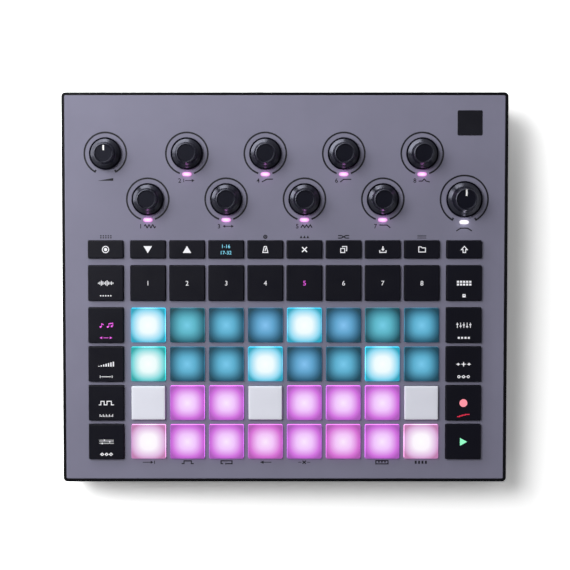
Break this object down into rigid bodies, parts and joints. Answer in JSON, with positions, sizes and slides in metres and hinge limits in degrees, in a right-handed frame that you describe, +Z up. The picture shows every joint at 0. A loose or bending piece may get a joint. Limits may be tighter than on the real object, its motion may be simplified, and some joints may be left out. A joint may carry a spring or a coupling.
{
  "type": "groovebox",
  "caption": "Tabletop groovebox with a tilted grey panel, light-up pads, push buttons, rotary knobs, rear audio sockets and a black case on rubber feet.",
  "frame": {"origin": "on the table under the middle of the case", "axes": "+X to the right, +Y to the rear sockets, +Z up; the panel rises to the rear"},
  "size_m": [0.2402, 0.2106, 0.0451],
  "materials": {
    "panel_grey": "fine matt paint",
    "case_black": "fine moulded texture",
    "key_black": "soft satin",
    "knob_black": "soft-touch satin",
    "pad_silicone": "translucent matt silicone",
    "foot_rubber": "matt",
    "screw_steel": "zinc plated",
    "board_green": "solder mask",
    "chip_white": "clear dome",
    "control_metal": "stamped",
    "switch_black": "moulded",
    "sensor_film": "printed film",
    "light_pipe": "frosted clear",
    "socket_black": "moulded",
    "socket_steel": "stamped",
    "battery_wrap": "heat-shrunk film"
  },
  "bodies": {
    "chassis": {"top_panel": "panel_grey", "bottom_case": "case_black", "rubber_feet": "foot_rubber", "screws": "screw_steel", "main_board": "board_green", "led_chips": "chip_white", "encoder_bodies": "control_metal", "potentiometer_bodies": "control_metal", "button_switches": "switch_black", "pad_sensor_sheet": "sensor_film", "knob_light_pipes": "light_pipe", "audio_jacks": "socket_black", "mini_jacks": "socket_black", "usb_socket": "socket_steel", "card_socket": "socket_steel", "power_switch": "switch_black", "battery_pack": "battery_wrap"},
    "volume_knob": {"volume_knob": "knob_black"},
    "filter_knob": {"filter_knob": "knob_black"},
    "encoder_knob_1": {"encoder_knob_1": "knob_black"},
    "encoder_knob_2": {"encoder_knob_2": "knob_black"},
    "encoder_knob_3": {"encoder_knob_3": "knob_black"},
    "encoder_knob_4": {"encoder_knob_4": "knob_black"},
    "encoder_knob_5": {"encoder_knob_5": "knob_black"},
    "encoder_knob_6": {"encoder_knob_6": "knob_black"},
    "encoder_knob_7": {"encoder_knob_7": "knob_black"},
    "encoder_knob_8": {"encoder_knob_8": "knob_black"},
    "power_button": {"power_button": "key_black"},
    "pad_row_1": {"pad_row_1": "pad_silicone"},
    "pad_row_2": {"pad_row_2": "pad_silicone"},
    "pad_row_3": {"pad_row_3": "pad_silicone"},
    "pad_row_4": {"pad_row_4": "pad_silicone"},
    "capture_button": {"capture_button": "key_black"},
    "scroll_down_button": {"scroll_down_button": "key_black"},
    "scroll_up_button": {"scroll_up_button": "key_black"},
    "page_button": {"page_button": "key_black"},
    "tempo_button": {"tempo_button": "key_black"},
    "clear_button": {"clear_button": "key_black"},
    "copy_button": {"copy_button": "key_black"},
    "save_button": {"save_button": "key_black"},
    "projects_button": {"projects_button": "key_black"},
    "shift_button": {"shift_button": "key_black"},
    "sample_button": {"sample_button": "key_black"},
    "track_1_button": {"track_1_button": "key_black"},
    "track_2_button": {"track_2_button": "key_black"},
    "track_3_button": {"track_3_button": "key_black"},
    "track_4_button": {"track_4_button": "key_black"},
    "track_5_button": {"track_5_button": "key_black"},
    "track_6_button": {"track_6_button": "key_black"},
    "track_7_button": {"track_7_button": "key_black"},
    "track_8_button": {"track_8_button": "key_black"},
    "patterns_button": {"patterns_button": "key_black"},
    "note_button": {"note_button": "key_black"},
    "velocity_button": {"velocity_button": "key_black"},
    "gate_button": {"gate_button": "key_black"},
    "pattern_settings_button": {"pattern_settings_button": "key_black"},
    "mixer_button": {"mixer_button": "key_black"},
    "effects_button": {"effects_button": "key_black"},
    "record_button": {"record_button": "key_black"},
    "play_button": {"play_button": "key_black"}
  },
  "joints": [
    {"name": "turn_volume_knob", "type": "hinge", "parent": "chassis", "child": "volume_knob", "pos_m": [-0.0966, 0.07226, 0.03337], "axis": [0, -0.0523, 0.9986], "range_deg": [-150, 150]},
    {"name": "turn_filter_knob", "type": "hinge", "parent": "chassis", "child": "filter_knob", "pos_m": [0.0966, 0.0477, 0.03208], "axis": [0, -0.0523, 0.9986], "range_deg": [-150, 150]},
    {"name": "turn_encoder_knob_1", "type": "hinge", "parent": "chassis", "child": "encoder_knob_1", "pos_m": [-0.07385, 0.0477, 0.03208], "axis": [0, -0.0523, 0.9986], "continuous": true},
    {"name": "turn_encoder_knob_2", "type": "hinge", "parent": "chassis", "child": "encoder_knob_2", "pos_m": [-0.05275, 0.07226, 0.03337], "axis": [0, -0.0523, 0.9986], "continuous": true},
    {"name": "turn_encoder_knob_3", "type": "hinge", "parent": "chassis", "child": "encoder_knob_3", "pos_m": [-0.03165, 0.0477, 0.03208], "axis": [0, -0.0523, 0.9986], "continuous": true},
    {"name": "turn_encoder_knob_4", "type": "hinge", "parent": "chassis", "child": "encoder_knob_4", "pos_m": [-0.01055, 0.07226, 0.03337], "axis": [0, -0.0523, 0.9986], "continuous": true},
    {"name": "turn_encoder_knob_5", "type": "hinge", "parent": "chassis", "child": "encoder_knob_5", "pos_m": [0.01055, 0.0477, 0.03208], "axis": [0, -0.0523, 0.9986], "continuous": true},
    {"name": "turn_encoder_knob_6", "type": "hinge", "parent": "chassis", "child": "encoder_knob_6", "pos_m": [0.03165, 0.07226, 0.03337], "axis": [0, -0.0523, 0.9986], "continuous": true},
    {"name": "turn_encoder_knob_7", "type": "hinge", "parent": "chassis", "child": "encoder_knob_7", "pos_m": [0.05275, 0.0477, 0.03208], "axis": [0, -0.0523, 0.9986], "continuous": true},
    {"name": "turn_encoder_knob_8", "type": "hinge", "parent": "chassis", "child": "encoder_knob_8", "pos_m": [0.07385, 0.07226, 0.03337], "axis": [0, -0.0523, 0.9986], "continuous": true},
    {"name": "press_power_button", "type": "slide", "parent": "chassis", "child": "power_button", "axis": [0, -0.9986, -0.0523], "range_m": [0, 0.0008], "stiffness_N_per_m": 500, "springref_m": -0.0015},
    {"name": "press_pad_row_1", "type": "slide", "parent": "chassis", "child": "pad_row_1", "axis": [0, 0.0523, -0.9986], "range_m": [0, 0.0008], "stiffness_N_per_m": 1500, "springref_m": -0.001},
    {"name": "press_pad_row_2", "type": "slide", "parent": "chassis", "child": "pad_row_2", "axis": [0, 0.0523, -0.9986], "range_m": [0, 0.0008], "stiffness_N_per_m": 1500, "springref_m": -0.001},
    {"name": "press_pad_row_3", "type": "slide", "parent": "chassis", "child": "pad_row_3", "axis": [0, 0.0523, -0.9986], "range_m": [0, 0.0008], "stiffness_N_per_m": 1500, "springref_m": -0.001},
    {"name": "press_pad_row_4", "type": "slide", "parent": "chassis", "child": "pad_row_4", "axis": [0, 0.0523, -0.9986], "range_m": [0, 0.0008], "stiffness_N_per_m": 1500, "springref_m": -0.001},
    {"name": "press_capture_button", "type": "slide", "parent": "chassis", "child": "capture_button", "axis": [0, 0.0523, -0.9986], "range_m": [0, 0.0008], "stiffness_N_per_m": 400, "springref_m": -0.0015},
    {"name": "press_scroll_down_button", "type": "slide", "parent": "chassis", "child": "scroll_down_button", "axis": [0, 0.0523, -0.9986], "range_m": [0, 0.0008], "stiffness_N_per_m": 400, "springref_m": -0.0015},
    {"name": "press_scroll_up_button", "type": "slide", "parent": "chassis", "child": "scroll_up_button", "axis": [0, 0.0523, -0.9986], "range_m": [0, 0.0008], "stiffness_N_per_m": 400, "springref_m": -0.0015},
    {"name": "press_page_button", "type": "slide", "parent": "chassis", "child": "page_button", "axis": [0, 0.0523, -0.9986], "range_m": [0, 0.0008], "stiffness_N_per_m": 400, "springref_m": -0.0015},
    {"name": "press_tempo_button", "type": "slide", "parent": "chassis", "child": "tempo_button", "axis": [0, 0.0523, -0.9986], "range_m": [0, 0.0008], "stiffness_N_per_m": 400, "springref_m": -0.0015},
    {"name": "press_clear_button", "type": "slide", "parent": "chassis", "child": "clear_button", "axis": [0, 0.0523, -0.9986], "range_m": [0, 0.0008], "stiffness_N_per_m": 400, "springref_m": -0.0015},
    {"name": "press_copy_button", "type": "slide", "parent": "chassis", "child": "copy_button", "axis": [0, 0.0523, -0.9986], "range_m": [0, 0.0008], "stiffness_N_per_m": 400, "springref_m": -0.0015},
    {"name": "press_save_button", "type": "slide", "parent": "chassis", "child": "save_button", "axis": [0, 0.0523, -0.9986], "range_m": [0, 0.0008], "stiffness_N_per_m": 400, "springref_m": -0.0015},
    {"name": "press_projects_button", "type": "slide", "parent": "chassis", "child": "projects_button", "axis": [0, 0.0523, -0.9986], "range_m": [0, 0.0008], "stiffness_N_per_m": 400, "springref_m": -0.0015},
    {"name": "press_shift_button", "type": "slide", "parent": "chassis", "child": "shift_button", "axis": [0, 0.0523, -0.9986], "range_m": [0, 0.0008], "stiffness_N_per_m": 400, "springref_m": -0.0015},
    {"name": "press_sample_button", "type": "slide", "parent": "chassis", "child": "sample_button", "axis": [0, 0.0523, -0.9986], "range_m": [0, 0.0008], "stiffness_N_per_m": 400, "springref_m": -0.0015},
    {"name": "press_track_1_button", "type": "slide", "parent": "chassis", "child": "track_1_button", "axis": [0, 0.0523, -0.9986], "range_m": [0, 0.0008], "stiffness_N_per_m": 400, "springref_m": -0.0015},
    {"name": "press_track_2_button", "type": "slide", "parent": "chassis", "child": "track_2_button", "axis": [0, 0.0523, -0.9986], "range_m": [0, 0.0008], "stiffness_N_per_m": 400, "springref_m": -0.0015},
    {"name": "press_track_3_button", "type": "slide", "parent": "chassis", "child": "track_3_button", "axis": [0, 0.0523, -0.9986], "range_m": [0, 0.0008], "stiffness_N_per_m": 400, "springref_m": -0.0015},
    {"name": "press_track_4_button", "type": "slide", "parent": "chassis", "child": "track_4_button", "axis": [0, 0.0523, -0.9986], "range_m": [0, 0.0008], "stiffness_N_per_m": 400, "springref_m": -0.0015},
    {"name": "press_track_5_button", "type": "slide", "parent": "chassis", "child": "track_5_button", "axis": [0, 0.0523, -0.9986], "range_m": [0, 0.0008], "stiffness_N_per_m": 400, "springref_m": -0.0015},
    {"name": "press_track_6_button", "type": "slide", "parent": "chassis", "child": "track_6_button", "axis": [0, 0.0523, -0.9986], "range_m": [0, 0.0008], "stiffness_N_per_m": 400, "springref_m": -0.0015},
    {"name": "press_track_7_button", "type": "slide", "parent": "chassis", "child": "track_7_button", "axis": [0, 0.0523, -0.9986], "range_m": [0, 0.0008], "stiffness_N_per_m": 400, "springref_m": -0.0015},
    {"name": "press_track_8_button", "type": "slide", "parent": "chassis", "child": "track_8_button", "axis": [0, 0.0523, -0.9986], "range_m": [0, 0.0008], "stiffness_N_per_m": 400, "springref_m": -0.0015},
    {"name": "press_patterns_button", "type": "slide", "parent": "chassis", "child": "patterns_button", "axis": [0, 0.0523, -0.9986], "range_m": [0, 0.0008], "stiffness_N_per_m": 400, "springref_m": -0.0015},
    {"name": "press_note_button", "type": "slide", "parent": "chassis", "child": "note_button", "axis": [0, 0.0523, -0.9986], "range_m": [0, 0.0008], "stiffness_N_per_m": 400, "springref_m": -0.0015},
    {"name": "press_velocity_button", "type": "slide", "parent": "chassis", "child": "velocity_button", "axis": [0, 0.0523, -0.9986], "range_m": [0, 0.0008], "stiffness_N_per_m": 400, "springref_m": -0.0015},
    {"name": "press_gate_button", "type": "slide", "parent": "chassis", "child": "gate_button", "axis": [0, 0.0523, -0.9986], "range_m": [0, 0.0008], "stiffness_N_per_m": 400, "springref_m": -0.0015},
    {"name": "press_pattern_settings_button", "type": "slide", "parent": "chassis", "child": "pattern_settings_button", "axis": [0, 0.0523, -0.9986], "range_m": [0, 0.0008], "stiffness_N_per_m": 400, "springref_m": -0.0015},
    {"name": "press_mixer_button", "type": "slide", "parent": "chassis", "child": "mixer_button", "axis": [0, 0.0523, -0.9986], "range_m": [0, 0.0008], "stiffness_N_per_m": 400, "springref_m": -0.0015},
    {"name": "press_effects_button", "type": "slide", "parent": "chassis", "child": "effects_button", "axis": [0, 0.0523, -0.9986], "range_m": [0, 0.0008], "stiffness_N_per_m": 400, "springref_m": -0.0015},
    {"name": "press_record_button", "type": "slide", "parent": "chassis", "child": "record_button", "axis": [0, 0.0523, -0.9986], "range_m": [0, 0.0008], "stiffness_N_per_m": 400, "springref_m": -0.0015},
    {"name": "press_play_button", "type": "slide", "parent": "chassis", "child": "play_button", "axis": [0, 0.0523, -0.9986], "range_m": [0, 0.0008], "stiffness_N_per_m": 400, "springref_m": -0.0015}
  ]
}
